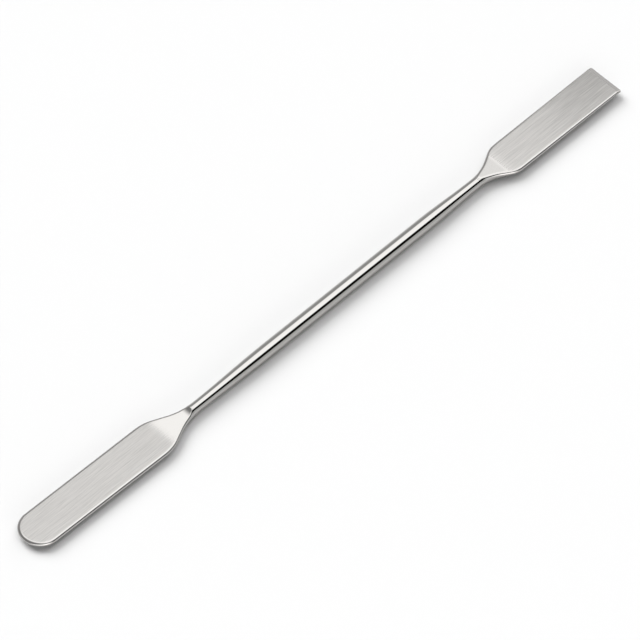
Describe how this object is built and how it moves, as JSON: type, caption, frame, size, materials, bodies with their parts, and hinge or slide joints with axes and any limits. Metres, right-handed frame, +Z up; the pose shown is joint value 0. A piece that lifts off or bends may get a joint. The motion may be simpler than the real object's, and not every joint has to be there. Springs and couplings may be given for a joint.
{
  "type": "laboratory spatula",
  "caption": "Flat steel laboratory spatula forged in one piece, with a round blade at one end, a square blade at the other and a thin round rod between them.",
  "frame": {"origin": "on the surface that the spatula lies on, under the rod's axis and halfway along the length", "axes": "+X along the rod towards the square blade, +Y across the blades, +Z up, out of the blades' top faces"},
  "size_m": [0.2, 0.0118, 0.0038],
  "materials": {
    "steel": "bare stainless steel, polished bright on the rod and brushed lengthwise on the blades"
  },
  "bodies": {
    "root": {"spatula": "steel"}
  },
  "joints": []
}
